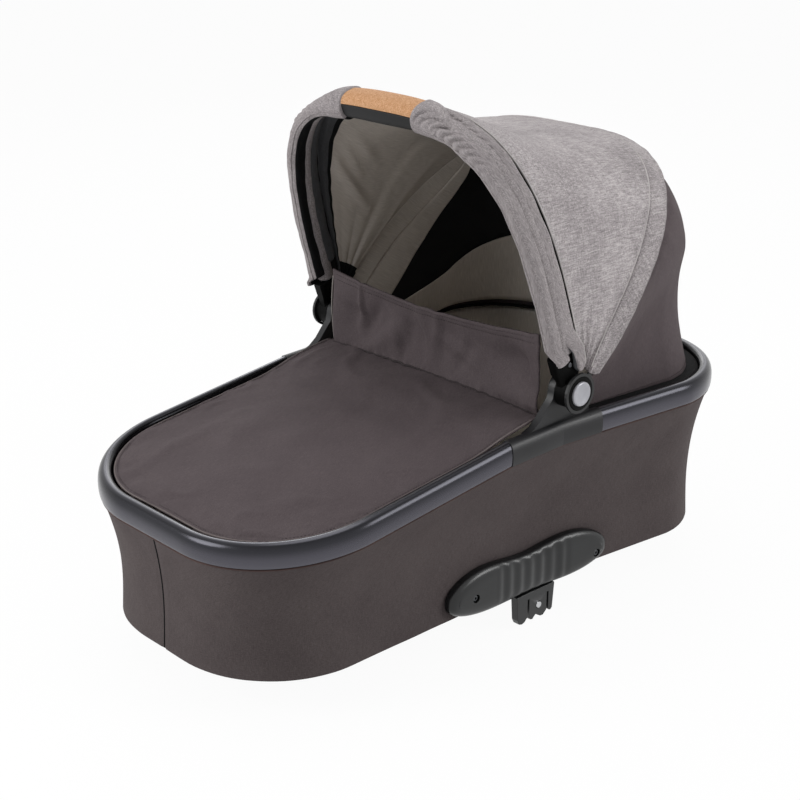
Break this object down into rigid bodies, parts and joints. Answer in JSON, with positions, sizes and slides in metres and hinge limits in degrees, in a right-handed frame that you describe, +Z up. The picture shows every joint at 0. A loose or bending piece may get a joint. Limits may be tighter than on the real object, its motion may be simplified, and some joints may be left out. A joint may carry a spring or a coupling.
{
  "type": "pram carrycot",
  "caption": "Pram carrycot with a folding fabric hood on a padded carry handle, an apron with a wind flap, a mattress and chassis plugs.",
  "frame": {"origin": "centre of the plan outline, on the surface that the rubber pads rest on", "axes": "+X towards the head end and the hood, +Y to the cot's left side, +Z up"},
  "size_m": [0.8308, 0.4988, 0.667],
  "materials": {
    "fabric_outer": "matt woven, warm dark grey",
    "lining": "light satin sheen, grey brown",
    "mattress_cover": "soft off-white",
    "melange": "matt melange grey",
    "mesh": "fine black mesh",
    "trim_black": "matt",
    "cord": "woven",
    "tray_plastic": "moulded",
    "rail_plastic": "moulded",
    "joint_plastic": "satin",
    "plate_plastic": "satin gloss",
    "bow_plastic": "satin",
    "grip_plastic": "satin",
    "pad_rubber": "matt",
    "rim_metal": "satin gunmetal anodised",
    "tube_metal": "satin",
    "stay_steel": "satin",
    "pin_steel": "polished",
    "button_silver": "silver grey satin",
    "cork": "cork grain"
  },
  "bodies": {
    "cot": {"side_wall": "fabric_outer", "apron": "fabric_outer", "hood_rear_panel": "fabric_outer", "inner_liner": "lining", "lining_rear": "lining", "base_tray": "tray_plastic", "mattress": "mattress_cover", "stand_rail_left": "rail_plastic", "stand_rail_right": "rail_plastic", "pad_foot_left": "pad_rubber", "pad_head_left": "pad_rubber", "pad_foot_right": "pad_rubber", "pad_head_right": "pad_rubber", "foot_rim": "rim_metal", "head_rim": "rim_metal", "stay_foot_left": "stay_steel", "stay_head_left": "stay_steel", "stay_foot_right": "stay_steel", "stay_head_right": "stay_steel", "rim_joint_left": "joint_plastic", "rim_joint_right": "joint_plastic", "plug_left": "joint_plastic", "plug_right": "joint_plastic", "side_plate_left": "plate_plastic", "side_plate_right": "plate_plastic", "head_trim": "trim_black", "pivot_pin_left": "pin_steel", "pivot_pin_right": "pin_steel", "lock_gear_left": "pin_steel", "lock_gear_right": "pin_steel", "screw_foot_left": "pin_steel", "screw_head_left": "pin_steel", "screw_foot_right": "pin_steel", "screw_head_right": "pin_steel", "plug_pin_left": "pin_steel", "plug_pin_right": "pin_steel"},
    "rear_hood": {"rear_bow": "bow_plastic", "hood_strip": "melange", "lining_mesh_rear": "mesh"},
    "handle": {"handle_tube": "tube_metal", "sleeve_left": "melange", "sleeve_right": "melange", "hood_front_panel": "melange", "grip_cork": "cork", "grip_underside": "grip_plastic", "handle_end_left": "grip_plastic", "handle_end_right": "grip_plastic", "arm_rivet_left": "pin_steel", "arm_rivet_right": "pin_steel", "lining_front": "lining", "lining_mesh_front": "mesh"},
    "button_left": {"pivot_button_left": "button_silver"},
    "button_right": {"pivot_button_right": "button_silver"},
    "flap": {"apron_flap": "fabric_outer", "flap_cord_left": "cord", "flap_cord_right": "cord"}
  },
  "joints": [
    {"name": "hood_fold", "type": "hinge", "parent": "cot", "child": "rear_hood", "pos_m": [0.06, 0, 0.32], "axis": [0, 1, 0], "range_deg": [0, 42], "deforming": ["hood_rear_panel", "lining_rear"]},
    {"name": "handle_fold", "type": "hinge", "parent": "rear_hood", "child": "handle", "pos_m": [0.06, 0, 0.32], "axis": [0, 1, 0], "range_deg": [0, 40], "deforming": ["hood_front_panel", "lining_front", "lining_mesh_front", "lining_mesh_rear"]},
    {"name": "button_press_left", "type": "slide", "parent": "handle", "child": "button_left", "axis": [0, -1, 0], "range_m": [0, 0.004], "stiffness_N_per_m": 400},
    {"name": "button_press_right", "type": "slide", "parent": "handle", "child": "button_right", "axis": [0, 1, 0], "range_m": [0, 0.004], "stiffness_N_per_m": 400},
    {"name": "flap_fold", "type": "hinge", "parent": "cot", "child": "flap", "pos_m": [0.028, 0, 0.29209], "axis": [0, 1, 0], "range_deg": [-75, 0]}
  ],
  "couplings": [
    {"joint": "handle_fold", "follows": "hood_fold", "ratio": 0.9523}
  ]
}
